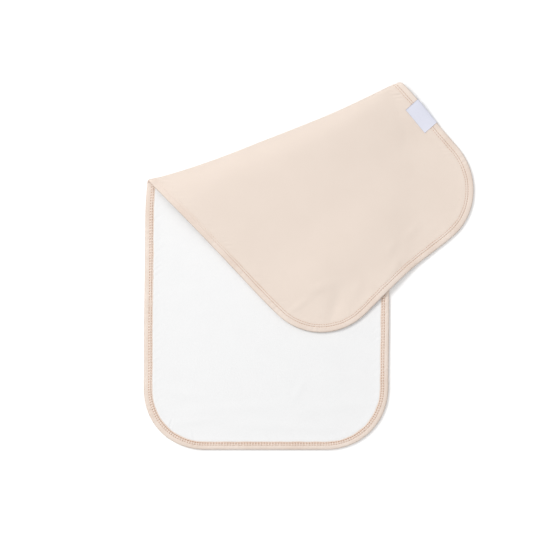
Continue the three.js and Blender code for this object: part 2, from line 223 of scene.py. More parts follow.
def folded_point(flat_u, flat_v):
    """Where the middle of the cloth lies, for flat points."""
    across = flat_u / CLOTH_WIDTH + 0.5
    v = flat_v + read_table(FLAP_END, flat_u) * smoothstep(flat_v, FLAP_END_FROM, CLOTH_LENGTH)
    u = flat_u + read_table(LEFT_SIDE, flat_v) * (1 - across) + read_table(RIGHT_SIDE, flat_v) * across
    a = u * ALONG_FOLD[0] + (v - FOLD_HEIGHT) * ALONG_FOLD[1]
    t = u * ACROSS_FOLD[0] + (v - FOLD_HEIGHT) * ACROSS_FOLD[1]
    inside = np.clip((edge_distance(flat_u, flat_v) - BINDING_WIDTH) / LIFT_LENGTH, 0, 1)
    lift = EDGE_LIFT * (1 - inside) ** 2
    low = LOW_HEIGHT + lift
    share = np.clip(a / (2 * HALF_FOLD) + 0.5, 0, 1)
    side = 2 * share - 1
    tip = -FOLD_BOW * (1 - side**2) * (1 + FOLD_BOW_SKEW * side)
    past = t - tip + read_table(BEND_RADIUS, share)
    q, height, beyond = turn_at(share, past, tip)
    q = np.where(past <= 0, t, q)
    q += read_table(FOLD_DRAWN, share) * np.exp(-((t - tip) / DRAWN_WIDTH) ** 2)
    x = a * ALONG_FOLD[0] + q * ACROSS_FOLD[0]
    y = FOLD_HEIGHT + a * ALONG_FOLD[1] + q * ACROSS_FOLD[1]
    settled = smoothstep(beyond / read_table(FALL_LENGTH, share), 0, 1) ** FALL_POWER
    rest = flap_rest(x, y) + lift + settled * creases(FLAP_CREASES, x, y)
    top = low + height
    z = np.where(past <= 0, low + creases(LOWER_CREASES, x, y), top + (rest - top) * settled)
    return np.stack([x, y, z], -1)


def cloth_point(u, v, w):
    """The folded points moved off the middle of the cloth by w, and the cloth's normals there."""
    step = 0.05
    along_u = folded_point(u + step, v) - folded_point(u - step, v)
    along_v = folded_point(u, v + step) - folded_point(u, v - step)
    normal = np.cross(along_u, along_v)
    normal /= np.linalg.norm(normal, axis=-1, keepdims=True)
    return folded_point(u, v) + normal * np.asarray(w)[..., None], normal


# The finished edge, measured counter-clockwise from the middle of the lower end
STRAIGHT_END = CLOTH_WIDTH / 2 - CORNER_RADIUS
STRAIGHT_SIDE = CLOTH_LENGTH - 2 * CORNER_RADIUS
CORNER_LENGTH = np.pi / 2 * CORNER_RADIUS
HALF_PERIMETER = 2 * STRAIGHT_END + STRAIGHT_SIDE + 2 * CORNER_LENGTH
TO_SIDE = STRAIGHT_END + CORNER_LENGTH
TO_TOP = TO_SIDE + STRAIGHT_SIDE
TO_END = TO_TOP + CORNER_LENGTH

# The join in the binding, on the left side
JOIN_V = 151.7
JOIN = HALF_PERIMETER + TO_SIDE + CLOTH_LENGTH - JOIN_V - CORNER_RADIUS


def edge_at(distance):
    """The flat points and inward directions at distances round the finished edge."""
    distance = np.mod(distance, 2 * HALF_PERIMETER)
    other = distance >= HALF_PERIMETER
    d = np.where(other, distance - HALF_PERIMETER, distance)
    low_turn = np.clip((d - STRAIGHT_END) / CORNER_RADIUS, 0, np.pi / 2)
    high_turn = np.clip((d - TO_TOP) / CORNER_RADIUS, 0, np.pi / 2)
    angle = -np.pi / 2 + low_turn + high_turn
    centre_u = np.clip(d, 0, STRAIGHT_END) - np.clip(d - TO_END, 0, STRAIGHT_END)
    centre_v = CORNER_RADIUS + np.clip(d - TO_SIDE, 0, STRAIGHT_SIDE)
    u = centre_u + CORNER_RADIUS * np.cos(angle)
    v = centre_v + CORNER_RADIUS * np.sin(angle)
    sign = np.where(other, -1.0, 1.0)
    return (
        u * sign,
        np.where(other, CLOTH_LENGTH - v, v),
        -np.cos(angle) * sign,
        -np.sin(angle) * sign,
    )


def bound_point(distance, depth, w):
    """Folded points and normals at a distance round the edge, a depth inside it and an offset."""
    u, v, inward_u, inward_v = edge_at(distance)
    return cloth_point(u + inward_u * depth, v + inward_v * depth, w)


def edge_place(u, v):
    """The distance round the edge of the edge point nearest to a flat point."""
    du = np.abs(u) - STRAIGHT_END
    dv = np.abs(v - CLOTH_LENGTH / 2) - STRAIGHT_SIDE / 2
    turned = np.arctan2(np.maximum(du, 0), np.maximum(dv, 1e-9)) * (du > 0)
    c = np.minimum(np.abs(u), STRAIGHT_END) + CORNER_RADIUS * turned + np.maximum(-dv, 0) * (du > 0)
    right = np.where(v < CLOTH_LENGTH / 2, c, HALF_PERIMETER - c)
    return np.where(u < 0, 2 * HALF_PERIMETER - right, right)


def edge_noise(distance, waves, random):
    """Smooth unevenness from -1 to 1 round the edge, with about that many waves round it."""
    turn = np.pi * distance / HALF_PERIMETER
    total = np.zeros_like(turn)
    for k in np.unique(random.integers(waves // 2, waves * 3 // 2, 9)):
        total += np.sin(k * turn + random.uniform(0, 2 * np.pi))
    return total / 3


def frame_shift():
    """What moves the laid-out cloth to the frame, where the binding's box has the same middle and
    the same lower end."""
    u, v, _, _ = edge_at(np.linspace(0, 2 * HALF_PERIMETER, 4000))
    outline = folded_point(u, v)
    low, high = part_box("binding")
    middle = (outline[:, 0].min() + outline[:, 0].max()) / 2
    return np.array([(low.x + high.x) / 2 / MM - middle, low.y / MM - outline[:, 1].min(), 0])


SHIFT = frame_shift()


def make_piece(name, points, faces, flat, material, node=None):
    """A smooth mesh from points in millimetres, with the flat cloth coordinates as its UV map."""
    placed = points + SHIFT
    placed[:, 2] = np.maximum(placed[:, 2], 0)
    mesh = bpy.data.meshes.new(name)
    mesh.from_pydata(placed * MM, [], faces)
    mesh.polygons.foreach_set("use_smooth", np.ones(len(mesh.polygons), bool))
    corners = np.zeros(len(mesh.loops), np.int32)
    mesh.loops.foreach_get("vertex_index", corners)
    layer = mesh.uv_layers.new(name="flat")
    layer.data.foreach_set("uv", (flat[corners] * MM).astype(np.float32).ravel())
    mesh.materials.append(material)
    mesh.update()
    piece = bpy.data.objects.new(name, mesh)
    bpy.context.scene.collection.objects.link(piece)
    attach(piece, "root")
    if node:
        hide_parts(node)
    return piece


# How finely the panels are divided: rows parallel to the fold, and columns along them. The side
# that is hidden inside the cloth has every third of both. The last two say how long the rows' ends
# are searched for.
ROW_SPACING = 1.6
TURN_SPACING = 0.55
TURN_FROM = -17.0
TURN_TO = 24.0
COLUMNS = 171
EDGE_CLOSER = 0.45
COARSER = 3
SEARCH_STEPS = 90
HALVINGS = 50


def panel_rows():
    """Distances of a panel's rows from the fold, close together where the cloth turns."""
    across = ACROSS_FOLD[1] * (CLOTH_LENGTH / 2 - CORNER_RADIUS)
    along = ALONG_FOLD[1] * STRAIGHT_END
    middle = (CLOTH_LENGTH / 2 - FOLD_HEIGHT) * ACROSS_FOLD[1]
    reach = across + along + CORNER_RADIUS - PANEL_INSET - 0.1
    rows = [middle - reach]
    parts = ((TURN_FROM, ROW_SPACING), (TURN_TO, TURN_SPACING), (middle + reach, ROW_SPACING))
    for end, spacing in parts:
        count = COARSER * int(np.ceil((end - rows[-1]) / spacing / COARSER))
        rows += list(np.linspace(rows[-1], end, count + 1)[1:])
    return np.array(rows)


def row_ends(t):
    """Where rows at distances t from the fold meet the panel's edge, as places along the fold."""

    def depth(a):
        return edge_distance(
            a * ALONG_FOLD[0] + t * ACROSS_FOLD[0],
            FOLD_HEIGHT + a * ALONG_FOLD[1] + t * ACROSS_FOLD[1],
        )

    low, high = np.full_like(t, -CLOTH_LENGTH), np.full_like(t, CLOTH_LENGTH)
    for _ in range(SEARCH_STEPS):
        one, two = low + (high - low) / 3, high - (high - low) / 3
        rising = depth(one) < depth(two)
        low, high = np.where(rising, one, low), np.where(rising, high, two)
    deepest = (low + high) / 2
    ends = []
    for outside in (-CLOTH_LENGTH, CLOTH_LENGTH):
        inner, outer = deepest, np.full_like(t, outside)
        for _ in range(HALVINGS):
            middle = (inner + outer) / 2
            within = depth(middle) > PANEL_INSET
            inner, outer = np.where(within, middle, inner), np.where(within, outer, middle)
        ends.append(inner)
    return ends


# How far a panel's outer face is pressed in under the binding and swells up beside its lip, and
# the uneven puckers there: how high, how far in from the lip, how many round the cloth, in how
# many groups, and how much they lean
PRESSED = 0.32
SWELL = 0.2
SWELL_PLACE = 0.8
SWELL_WIDTH = 3.0
PANEL_PUCKERS = 0.24
PUCKER_PLACE = 3.5
PUCKER_WIDTH = 5.0
PUCKER_COUNT = 230
PUCKER_GROUPS = 40
PUCKER_LEAN = 0.7


def seam_relief(u, v):
    """How far the outer face of a panel stands above its plain height, beside the binding and
    under it."""
    random = np.random.default_rng(SEED)
    inside = edge_distance(u, v) - BINDING_WIDTH
    place = edge_place(u, v) + PUCKER_LEAN * inside
    waves = edge_noise(place, PUCKER_COUNT, random)
    waves = waves * (0.6 + 0.4 * edge_noise(place, PUCKER_GROUPS, random))
    swell = SWELL * near(inside, SWELL_PLACE, SWELL_WIDTH)
    puckers = PANEL_PUCKERS * waves * near(inside, PUCKER_PLACE, PUCKER_WIDTH)
    free = smoothstep(inside, -1, 0.4)
    return (swell + puckers) * free - PRESSED * (1 - free)


def panel(name, outer, inner, material, node):
    """One panel: a fine outer face, a coarser face hidden inside the cloth, and a rim."""
    t = panel_rows()
    left, right = row_ends(t)
    share = np.linspace(0, 1, COLUMNS)
    share = share - EDGE_CLOSER * np.sin(2 * np.pi * share) / (2 * np.pi)
    a = left[:, None] + (right - left)[:, None] * share
    t = np.broadcast_to(t[:, None], a.shape)
    u = a * ALONG_FOLD[0] + t * ACROSS_FOLD[0]
    v = FOLD_HEIGHT + a * ALONG_FOLD[1] + t * ACROSS_FOLD[1]
    fine, _ = cloth_point(u, v, outer + np.sign(outer) * seam_relief(u, v))
    few = (slice(None, None, COARSER), slice(None, None, COARSER))
    coarse, _ = cloth_point(u[few], v[few], np.full(u[few].shape, inner))
    upward = outer > inner
    faces = grid_faces(*u.shape, 0, upward) + grid_faces(*u[few].shape, u.size, not upward)
    faces += rim_faces(u.shape, u[few].shape, upward)
    points = np.concatenate([fine.reshape(-1, 3), coarse.reshape(-1, 3)])
    flat = np.stack([u, v], -1)
    flat = np.concatenate([flat.reshape(-1, 2), flat[few].reshape(-1, 2)])
    piece = make_piece(name, points, faces, flat, material, node)
    return piece


def grid_faces(rows, columns, start, upward):
    """Quads over a grid of points, facing the side that u, v turns towards where upward."""
    i, j = np.meshgrid(np.arange(rows - 1), np.arange(columns - 1), indexing="ij")
    first = (start + i * columns + j).ravel()
    quads = np.stack([first, first + 1, first + columns + 1, first + columns], -1)
    return (quads if upward else quads[:, ::-1]).tolist()


def rim_faces(fine, coarse, upward):
    """Faces that join the fine grid's border to the coarse grid's, one for each coarse step."""

    def border(shape, start):
        index = start + np.arange(shape[0] * shape[1]).reshape(shape)
        return np.concatenate([index[0, :-1], index[:-1, -1], index[-1, :0:-1], index[:0:-1, 0]])

    outer, inner = border(fine, 0), border(coarse, fine[0] * fine[1])
    faces = []
    for k in range(len(inner)):
        chain = [outer[(COARSER * k + n) % len(outer)] for n in range(COARSER + 1)]
        face = [int(n) for n in (*chain[::-1], inner[k], inner[(k + 1) % len(inner)])]
        faces.append(face if upward else face[::-1])
    return faces


# The binding's section, as (depth in from the edge, offset): along the outside from the front
# leg's lip to the edge, on to the back leg's lip, and back along the inside. Two needle lines draw
# each leg in. EVEN_FRONT is the front leg where they hardly do.
FRONT_LINES = (5.85, 8.15)
BACK_LINES = (5.0, 7.5)
FRONT_LEG = [
    (9.1, -0.8), (9.1, -1.15), (8.95, -1.32), (8.7, -1.39), (8.45, -1.38), (8.3, -1.3),
    (8.15, -1.02), (8.0, -1.3), (7.8, -1.45), (7.4, -1.56), (7.0, -1.6), (6.6, -1.56),
    (6.2, -1.47), (6.0, -1.3), (5.85, -1.0), (5.7, -1.3), (5.4, -1.5), (4.9, -1.64),
    (4.2, -1.72), (3.3, -1.75), (2.4, -1.73), (1.6, -1.63), (0.95, -1.44), (0.42, -1.1),
    (0.12, -0.6),
]
BACK_LEG = [
    (0, 0.1), (0.12, 0.7), (0.45, 1.3), (1.0, 1.7), (1.7, 1.92), (2.5, 2.0), (3.3, 2.0),
    (4.0, 1.93), (4.5, 1.82), (4.8, 1.7), (5.0, 1.58), (5.2, 1.66), (5.6, 1.75), (6.2, 1.78),
    (6.8, 1.75), (7.2, 1.68), (7.5, 1.56), (7.8, 1.65), (8.3, 1.68), (8.8, 1.62), (9.1, 1.48),
    (9.15, 1.1),
]
INSIDE_LEGS = [
    (9.0, 1.1), (5.0, 1.3), (1.3, 1.48), (0.9, 1.2), (0.9, -0.9), (1.3, -1.18), (5.0, -1.0),
    (9.0, -0.8),
]
EVEN_FRONT = [(4.9, -1.64), (7.0, -1.6), (8.7, -1.39), (9.1, -1.15)]
STITCH_PITCH = 2.85
BINDING_STEP = 0.88

# The binding's relief: a rib for each stitch near the needle lines, and puckers on the band
# outside them, each as (depth, half width) with its height and its groups round the cloth
RIBS_AT = (6.0, 2.2)
RIB_HEIGHT = 0.1
RIB_GROUPS = 30
BAND_AT = (3.6, 2.2)
BAND_HEIGHT = 0.22
BAND_PUCKERS = 210
BAND_GROUPS = 24

# How much narrower the legs are at the lower end, how uneven their width is, how much of the
# needle lines' draw is gone where they are slack, and the raised join with its middle groove
END_NARROWER = 0.06
WIDTH_UNEVEN = 0.03
WIDTH_WAVES = 60
SLACK_RISE = 0.6
JOIN_HALF_WIDTH = 1.8
JOIN_GROOVE = 0.7
JOIN_HEIGHT = 0.5

# Where the needle lines go slack and where they are tight again, along the flap's left side
SLACK_FROM = (250, 275)
SLACK_TO = (310, 430)

# Half the width of the strip that the edge's turn takes, which is painted darker as the shade of the
# edge's rounded turn, and what the stitched strip, painted darker as the shade between the stitches,
# adds beyond its needle lines
EDGE_STRIP = 1.7
STITCHED_MARGIN = 0.6


def leg_offset(depth, leg):
    """The offset of the outside of a leg at a depth."""
    rows = sorted(leg)
    return np.interp(depth, [r[0] for r in rows], [r[1] for r in rows])


def path_along(section):
    """The length along a section to each of its points."""
    return np.concatenate([[0], np.cumsum(np.hypot(*np.diff(section, axis=0).T))])


def painted_edge_shade():
    """The lengths along the binding's section between which it turns round the cloth's edge: a strip
    painted darker there as painted shade of the edge's rounded turn.
    """
    path = path_along(np.array(FRONT_LEG + BACK_LEG))
    middle = len(FRONT_LEG)
    return np.array([path[middle] - EDGE_STRIP, path[middle] + EDGE_STRIP])


def painted_stitch_shade():
    """The lengths along the binding's section from just before the first needle line on the white
    side to just past the second: a strip painted darker as the shade in the gaps between the stitches."""
    path = path_along(np.array(FRONT_LEG + BACK_LEG))[len(FRONT_LEG):]
    lines = np.interp(BACK_LINES, [depth for depth, _ in BACK_LEG], path)
    return lines + np.array([-STITCHED_MARGIN, STITCHED_MARGIN])


def slack(place):
    """From 0 to 1 where the needle lines are slack and hardly draw in the binding: on the flap's
    left side near the fold. place is the distance from the join."""
    u, v, _, _ = edge_at(place + JOIN)
    return (u < 0) * (1 - smoothstep(v, *SLACK_TO)) * smoothstep(v, *SLACK_FROM)


def at_lower_end(place):
    """From 0 along the sides to 1 along the cloth's lower end, at a distance from the join."""
    to_end = np.abs(np.mod(place + JOIN + HALF_PERIMETER, 2 * HALF_PERIMETER) - HALF_PERIMETER)
    return 1 - smoothstep(to_end, STRAIGHT_END, TO_SIDE)


def leg_width(place):
    """How wide the binding's legs are at a distance from the join: narrower at the lower end."""
    return 1 - END_NARROWER * at_lower_end(place)


def binding(material):
    """The knit strip round the edge: one closed ring of sections with the binding's relief."""
    random = np.random.default_rng(SEED)
    count = int(2 * HALF_PERIMETER / BINDING_STEP)
    place = np.arange(count) * 2 * HALF_PERIMETER / count
    section = np.array(FRONT_LEG + BACK_LEG + INSIDE_LEGS)
    outside = len(FRONT_LEG) + len(BACK_LEG)
    depth, offset = section[None, :, 0], section[None, :, 1]
    place = place[:, None]
    shown = (np.arange(len(section)) < outside)[None, :]
    ribs = np.cos(2 * np.pi * place / STITCH_PITCH)
    ribs = ribs * (0.55 + 0.45 * edge_noise(place, RIB_GROUPS, random))
    puckers = edge_noise(place, BAND_PUCKERS, random)
    puckers = puckers * (0.5 + 0.5 * edge_noise(place, BAND_GROUPS, random))
    from_join = np.minimum(place, 2 * HALF_PERIMETER - place)
    join = near(from_join, 0, JOIN_HALF_WIDTH) - near(from_join, 0, JOIN_GROOVE)
    relief = RIB_HEIGHT * ribs * near(depth, *RIBS_AT)
    relief = relief + BAND_HEIGHT * (puckers - 0.4) * near(depth, *BAND_AT)
    relief += JOIN_HEIGHT * join * smoothstep(depth, 0.2, 2)
    drawn_in = (offset < 0) & (depth >= EVEN_FRONT[0][0]) & shown
    even = np.where(drawn_in, leg_offset(depth, EVEN_FRONT), offset)
    w = offset + SLACK_RISE * slack(place) * np.minimum(even - offset, 0)
    w = w + np.sign(offset) * relief * shown
    w = np.maximum(w, BOUND_FRONT)
    uneven = WIDTH_UNEVEN * edge_noise(place, WIDTH_WAVES, random)
    width = leg_width(place) + uneven * smoothstep(depth, 4, 9)
    points, _ = bound_point(place + JOIN, depth * width, w)
    per_ring = len(section)
    ring = np.arange(count)[:, None] * per_ring
    after = np.roll(ring, -1, 0)
    j = np.arange(per_ring)[None, :]
    k = (j + 1) % per_ring
    quads = np.stack(np.broadcast_arrays(ring + j, ring + k, after + k, after + j), -1)
    flat = np.stack(np.broadcast_arrays(place, path_along(section)[None, :]), -1)
    return make_piece(
        "bound_edge", points.reshape(-1, 3), quads.reshape(-1, 4).tolist(), flat.reshape(-1, 2),
        material, "binding",
    )


# A thread's sides, how thin its ends are, and the length that its twist is drawn for
THREAD_SIDES = 6
END_TAPER = 0.45
THREAD_LENGTH = 3.0


def threads(name, points, normals, radius, material):
    """Short round threads. points and normals hold a row of places for each thread; the radius is
    one number or one for each thread."""
    sides = THREAD_SIDES
    along = np.gradient(points, axis=1)
    along /= np.linalg.norm(along, axis=-1, keepdims=True)
    sideways = np.cross(along, normals)
    sideways /= np.linalg.norm(sideways, axis=-1, keepdims=True)
    upward = np.cross(sideways, along)
    steps = points.shape[1]
    taper = np.ones(steps)
    taper[[0, -1]] = END_TAPER
    angle = 2 * np.pi * np.arange(sides) / sides
    round_it = (
        np.cos(angle)[None, None, :, None] * sideways[:, :, None]
        + np.sin(angle)[None, None, :, None] * upward[:, :, None]
    )
    radii = np.broadcast_to(radius, len(points))[:, None] * taper
    body = points[:, :, None] + round_it * radii[:, :, None, None]
    first = (np.arange(len(points)) * steps * sides)[:, None, None]
    i = np.arange(steps - 1)[None, :, None] * sides
    j = np.arange(sides)[None, None, :]
    k = (j + 1) % sides
    low, high = first + i, first + i + sides
    quads = np.stack(np.broadcast_arrays(low + j, high + j, high + k, low + k), -1)
    faces = quads.reshape(-1, 4).tolist()
    for start in first.ravel():
        end = start + (steps - 1) * sides
        faces.append([int(start + n) for n in range(sides)])
        faces.append([int(end + n) for n in range(sides)][::-1])
    length = np.linspace(0, THREAD_LENGTH, steps)[None, :, None]
    around = np.arange(sides)[None, None, :] / sides
    flat = np.stack(np.broadcast_arrays(length + 0 * first, around + 0 * first), -1)
    return make_piece(name, body.reshape(-1, 3), faces, flat.reshape(-1, 2), material)


# The needle threads' radii, (along the sides, along the lower end) for each line, and how much
# thinner they are where slack; the dark thread stands in for the needle lines' groove shadow, so
# its thickness sets how strong that painted shade reads. A dash is given in shares of the stitch's
# pitch, and it stands above the leg at its middle and lies deeper at its ends.
FRONT_RADII = ((0.37, 0.37), (0.37, 0.37))
BACK_RADII = ((0.28, 0.15), (0.3, 0.48))
SLACK_THINNER = 0.45
DASH_FROM = 0.03
DASH_LENGTH = 0.94
DASH_RAISED = 0.05
DASH_SUNK = 0.2

# The ladder's rungs: the depths they reach between, and on the way there and the way back the
# place where each starts and how far it leans, in shares of the pitch. None lies close to the
# join, past it or before it.
RUNG_ENDS = (BACK_LINES[0] - 0.5, BACK_LINES[1] - 0.1)
RUNG_WAYS = ((0, 0.04), (0.18, 0.08))
RUNG_RADIUS = 0.38
RUNG_RAISED = 0.2
RUNG_SUNK = 0.34
NO_RUNGS_PAST_JOIN = 9.0
NO_RUNGS_BEFORE_JOIN = 6.5


def stitch_places():
    """Where the stitches start, as distances from the join."""
    count = int(round(2 * HALF_PERIMETER / STITCH_PITCH))
    return np.arange(count) * 2 * HALF_PERIMETER / count


def row_stitches(name, lines, leg, side, radii, material, slot):
    """The dashes of the needle threads along the lines of one leg. side says which way is out of
    it: -1 for the front leg and 1 for the back."""
    start = stitch_places()[:, None]
    f = np.linspace(0, 1, 5)[None, :]
    points, normals, radius = [], [], []
    for line, (along_side, along_end) in zip(lines, radii):
        place = start + STITCH_PITCH * (DASH_FROM + DASH_LENGTH * f)
        raised = DASH_RAISED - DASH_SUNK * (2 * f - 1) ** 2
        w = leg_offset(line, leg) + side * raised
        p, n = bound_point(place + JOIN, line * leg_width(place), w + 0 * place)
        points.append(p)
        normals.append(n)
        thickness = along_side + (along_end - along_side) * at_lower_end(start[:, 0])
        radius.append(thickness * (1 - SLACK_THINNER * slack(start[:, 0])))
    return threads(
        name, np.concatenate(points), np.concatenate(normals), np.concatenate(radius), material
    )


def ladder_stitches(material):
    """The looper thread on the white side: for each stitch a rung that runs from one needle line
    to the other and back."""
    start = stitch_places()
    last_place = 2 * HALF_PERIMETER - NO_RUNGS_BEFORE_JOIN
    start = start[(start > NO_RUNGS_PAST_JOIN) & (start < last_place)][:, None]
    f = np.linspace(0, 1, 7)[None, :]
    points, normals = [], []
    for first, last, (begin, lean) in zip(RUNG_ENDS, RUNG_ENDS[::-1], RUNG_WAYS):
        depth = first + (last - first) * f + 0 * start
        place = start + STITCH_PITCH * (lean * f + begin)
        w = leg_offset(depth, BACK_LEG) + RUNG_RAISED - RUNG_SUNK * (2 * f - 1) ** 4
        p, n = bound_point(place + JOIN, depth * leg_width(place), w)
        points.append(p)
        normals.append(n)
    return threads(
        "ladder_stitches", np.concatenate(points), np.concatenate(normals), RUNG_RADIUS, material
    )


# The label: its length along the edge, its middle's place along the cloth, its thickness, how far
# its corners lift and from what depth, and its inner face's path round the edge, as (depth, offset)
LABEL_LENGTH = 30.0
LABEL_MIDDLE = 420.0
LABEL_THICKNESS = 0.42
LABEL_STEPS = 36
LABEL_LIFT = 0.35
LABEL_LIFT_FROM = 11.0
LABEL_PATH = [
    (16.6, -1.3), (15.0, -1.25), (12.6, -1.25), (11.0, -1.36), (9.8, -1.58), (8.6, -1.74),
    (7.0, -1.82), (4.5, -1.88), (2.4, -1.9), (0.9, -1.65), (0.05, -1.0), (-0.2, 0.0),
    (0.05, 1.15), (0.9, 1.85), (2.4, 2.16), (4.5, 2.15), (7.0, 2.05), (8.6, 1.97),
    (9.8, 1.87), (11.0, 1.7), (12.6, 1.58), (15.0, 1.55), (16.6, 1.55),
]


def rounded_path(path, rounds=2):
    """A path with its corners cut again and again, its ends kept."""
    path = np.array(path, float)
    for _ in range(rounds):
        near = path[:-1] * 0.75 + path[1:] * 0.25
        far = path[:-1] * 0.25 + path[1:] * 0.75
        cut = np.stack([near, far], 1).reshape(-1, 2)
        path = np.concatenate([path[:1], cut[1:-1], path[-1:]])
    return path


def label(material):
    """One piece of tape folded over the edge, bare, its corners a little lifted."""
    inner = rounded_path(LABEL_PATH)
    along = np.gradient(inner, axis=0)
    outward = np.stack([-along[:, 1], along[:, 0]], -1)
    outward /= np.linalg.norm(outward, axis=-1, keepdims=True)
    outward *= -np.sign(outward[len(inner) // 2, 0]) * np.ones((len(inner), 1))
    outer = inner + outward * LABEL_THICKNESS
    ring = np.concatenate([inner, outer[::-1]])
    steps = LABEL_STEPS
    middle = TO_SIDE + LABEL_MIDDLE - CORNER_RADIUS
    place = middle + LABEL_LENGTH * np.linspace(-0.5, 0.5, steps + 1)
    depth = ring[None, :, 0] + 0 * place[:, None]
    side = np.abs(np.linspace(-1, 1, steps + 1))[:, None]
    lifted = LABEL_LIFT * side**6 * smoothstep(depth, LABEL_LIFT_FROM, LABEL_PATH[0][0])
    w = ring[None, :, 1] + np.sign(ring[None, :, 1]) * lifted
    points, _ = bound_point(place[:, None] + 0 * depth, depth, w)
    per_ring = len(ring)
    first = np.arange(steps)[:, None] * per_ring
    j = np.arange(per_ring)[None, :]
    k = (j + 1) % per_ring
    quads = np.stack([first + j, first + k, first + per_ring + k, first + per_ring + j], -1)
    faces = quads.reshape(-1, 4).tolist()
    half = len(inner)
    for n in range(half - 1):
        cap = [n, 2 * half - 1 - n, 2 * half - 2 - n, n + 1]
        faces.append(cap[::-1])
        faces.append([steps * per_ring + m for m in cap])
    path = path_along(inner)
    path = np.concatenate([path, path[::-1]])
    flat = np.stack(np.broadcast_arrays(place[:, None], path[None, :]), -1)
    return make_piece(
        "bare_label", points.reshape(-1, 3), faces, flat.reshape(-1, 2), material, "label"
    )


def wire(tree, socket, value):
    """Join a node's output to a socket, or set the socket to a number."""
    if isinstance(value, bpy.types.NodeSocket):
        tree.links.new(value, socket)
    else:
        socket.default_value = value


def calc(tree, operation, *values):
    """A math node's result; each value is a number or another node's output."""
    node = tree.nodes.new("ShaderNodeMath")
    node.operation = operation
    for socket, value in zip(node.inputs, values):
        wire(tree, socket, value)
    return node.outputs[0]


def flat_place(tree):
    """The flat cloth coordinates, in metres."""
    node = tree.nodes.new("ShaderNodeUVMap")
    node.uv_map = "flat"
    parts = tree.nodes.new("ShaderNodeSeparateXYZ")
    tree.links.new(node.outputs["UV"], parts.inputs[0])
    return node.outputs["UV"], parts.outputs[0], parts.outputs[1]


def noise(tree, place, size, detail=2.0, roughness=0.5):
    """A noise from 0 to 1 whose lumps are about size millimetres across."""
    node = tree.nodes.new("ShaderNodeTexNoise")
    tree.links.new(place, node.inputs["Vector"])
    node.inputs["Scale"].default_value = 1 / (size * MM)
    node.inputs["Detail"].default_value = detail
    node.inputs["Roughness"].default_value = roughness
    return node.outputs["Fac"]


def knit_height(tree, across, along, wale, course):
    """The height of plain knitting from 0 to 1: a column of small V shapes each wale wide."""
    column = calc(tree, "DIVIDE", across, wale * MM)
    row = calc(tree, "DIVIDE", along, course * MM)
    middle = calc(tree, "ABSOLUTE", calc(tree, "SUBTRACT", calc(tree, "FRACT", column), 0.5))
    slanted = calc(tree, "ADD", row, calc(tree, "MULTIPLY", middle, 1.5))
    loop = calc(tree, "SINE", calc(tree, "MULTIPLY", slanted, 2 * np.pi))
    loop = calc(tree, "MULTIPLY_ADD", loop, 0.5, 0.5)
    leg = calc(tree, "SINE", calc(tree, "MULTIPLY", middle, 2 * np.pi))
    return calc(tree, "MULTIPLY", leg, calc(tree, "MULTIPLY_ADD", loop, 0.6, 0.4))


def cloth_material(name, colour, shade, roughness, sheen, height, tone_and_painted_shade, bump, depth):
    """A woven or knitted surface. height builds its relief from the node tree; the tone function
    builds the share of the shade colour, which is painted shade in the relief's hollows, for some
    materials with tone that differs at random and strips of painted shade; bump is its strength and
    depth its relief in millimetres."""
    material = bpy.data.materials.new(name)
    material.use_nodes = True
    tree = material.node_tree
    shader = tree.nodes["Principled BSDF"]
    shader.inputs["Specular IOR Level"].default_value = 0.25
    shader.inputs["Sheen Weight"].default_value = sheen
    shader.inputs["Sheen Roughness"].default_value = 0.5
    relief = height(tree)
    mix = tree.nodes.new("ShaderNodeMix")
    mix.data_type = "RGBA"
    mix.inputs["A"].default_value = (*colour, 1)
    mix.inputs["B"].default_value = (*shade, 1)
    # Painted shade: the share of the shade colour rises where the relief is low.
    tree.links.new(tone_and_painted_shade(tree, relief), mix.inputs["Factor"])
    tree.links.new(mix.outputs["Result"], shader.inputs["Base Color"])
    rough = calc(tree, "MULTIPLY_ADD", relief, -0.12, roughness)
    tree.links.new(rough, shader.inputs["Roughness"])
    raised = tree.nodes.new("ShaderNodeBump")
    raised.inputs["Strength"].default_value = bump
    raised.inputs["Distance"].default_value = depth * MM
    tree.links.new(relief, raised.inputs["Height"])
    tree.links.new(raised.outputs["Normal"], shader.inputs["Normal"])
    return material


def strip(tree, value, low, high, blend):
    """From 0 to 1 where a value lies between two others."""
    rise = calc(tree, "DIVIDE", calc(tree, "SUBTRACT", value, low), blend)
    fall = calc(tree, "DIVIDE", calc(tree, "SUBTRACT", high, value), blend)
    low_end = calc(tree, "MINIMUM", rise, fall)
    return calc(tree, "MINIMUM", calc(tree, "MAXIMUM", low_end, 0.0), 1.0)


def knit_material(name, colour, shade, wale, course, painted_shade_strips=()):
    """Plain knitting. Its last argument holds (low, high, blend, deeper) along the cloth, in
    millimetres, each taking a strip towards the shade colour as painted shade."""

    def height(tree):
        place, across, along = flat_place(tree)
        knit = knit_height(tree, across, along, wale, course)
        loops = calc(tree, "MULTIPLY", knit, 0.75)
        return calc(tree, "MULTIPLY_ADD", noise(tree, place, 0.7), 0.5, loops)

    def tone_and_painted_shade(tree, relief):
        place, _, along = flat_place(tree)
        broad = calc(tree, "MULTIPLY_ADD", noise(tree, place, 34.0), 0.7, -0.05)
        # Painted shade: the knit's hollows, where the relief is low, lean to the shade colour; broad
        # is tone that differs at random.
        total = calc(tree, "ADD", broad, calc(tree, "MULTIPLY_ADD", relief, -0.45, 0.3))
        # Painted shade: each strip is painted further towards the shade colour.
        for low, high, blend, deeper in painted_shade_strips:
            inside = strip(tree, along, low * MM, high * MM, blend * MM)
            total = calc(tree, "MULTIPLY_ADD", inside, deeper, total)
        return total

    return cloth_material(name, colour, shade, 0.92, 0.25, height, tone_and_painted_shade, 0.5, 0.18)


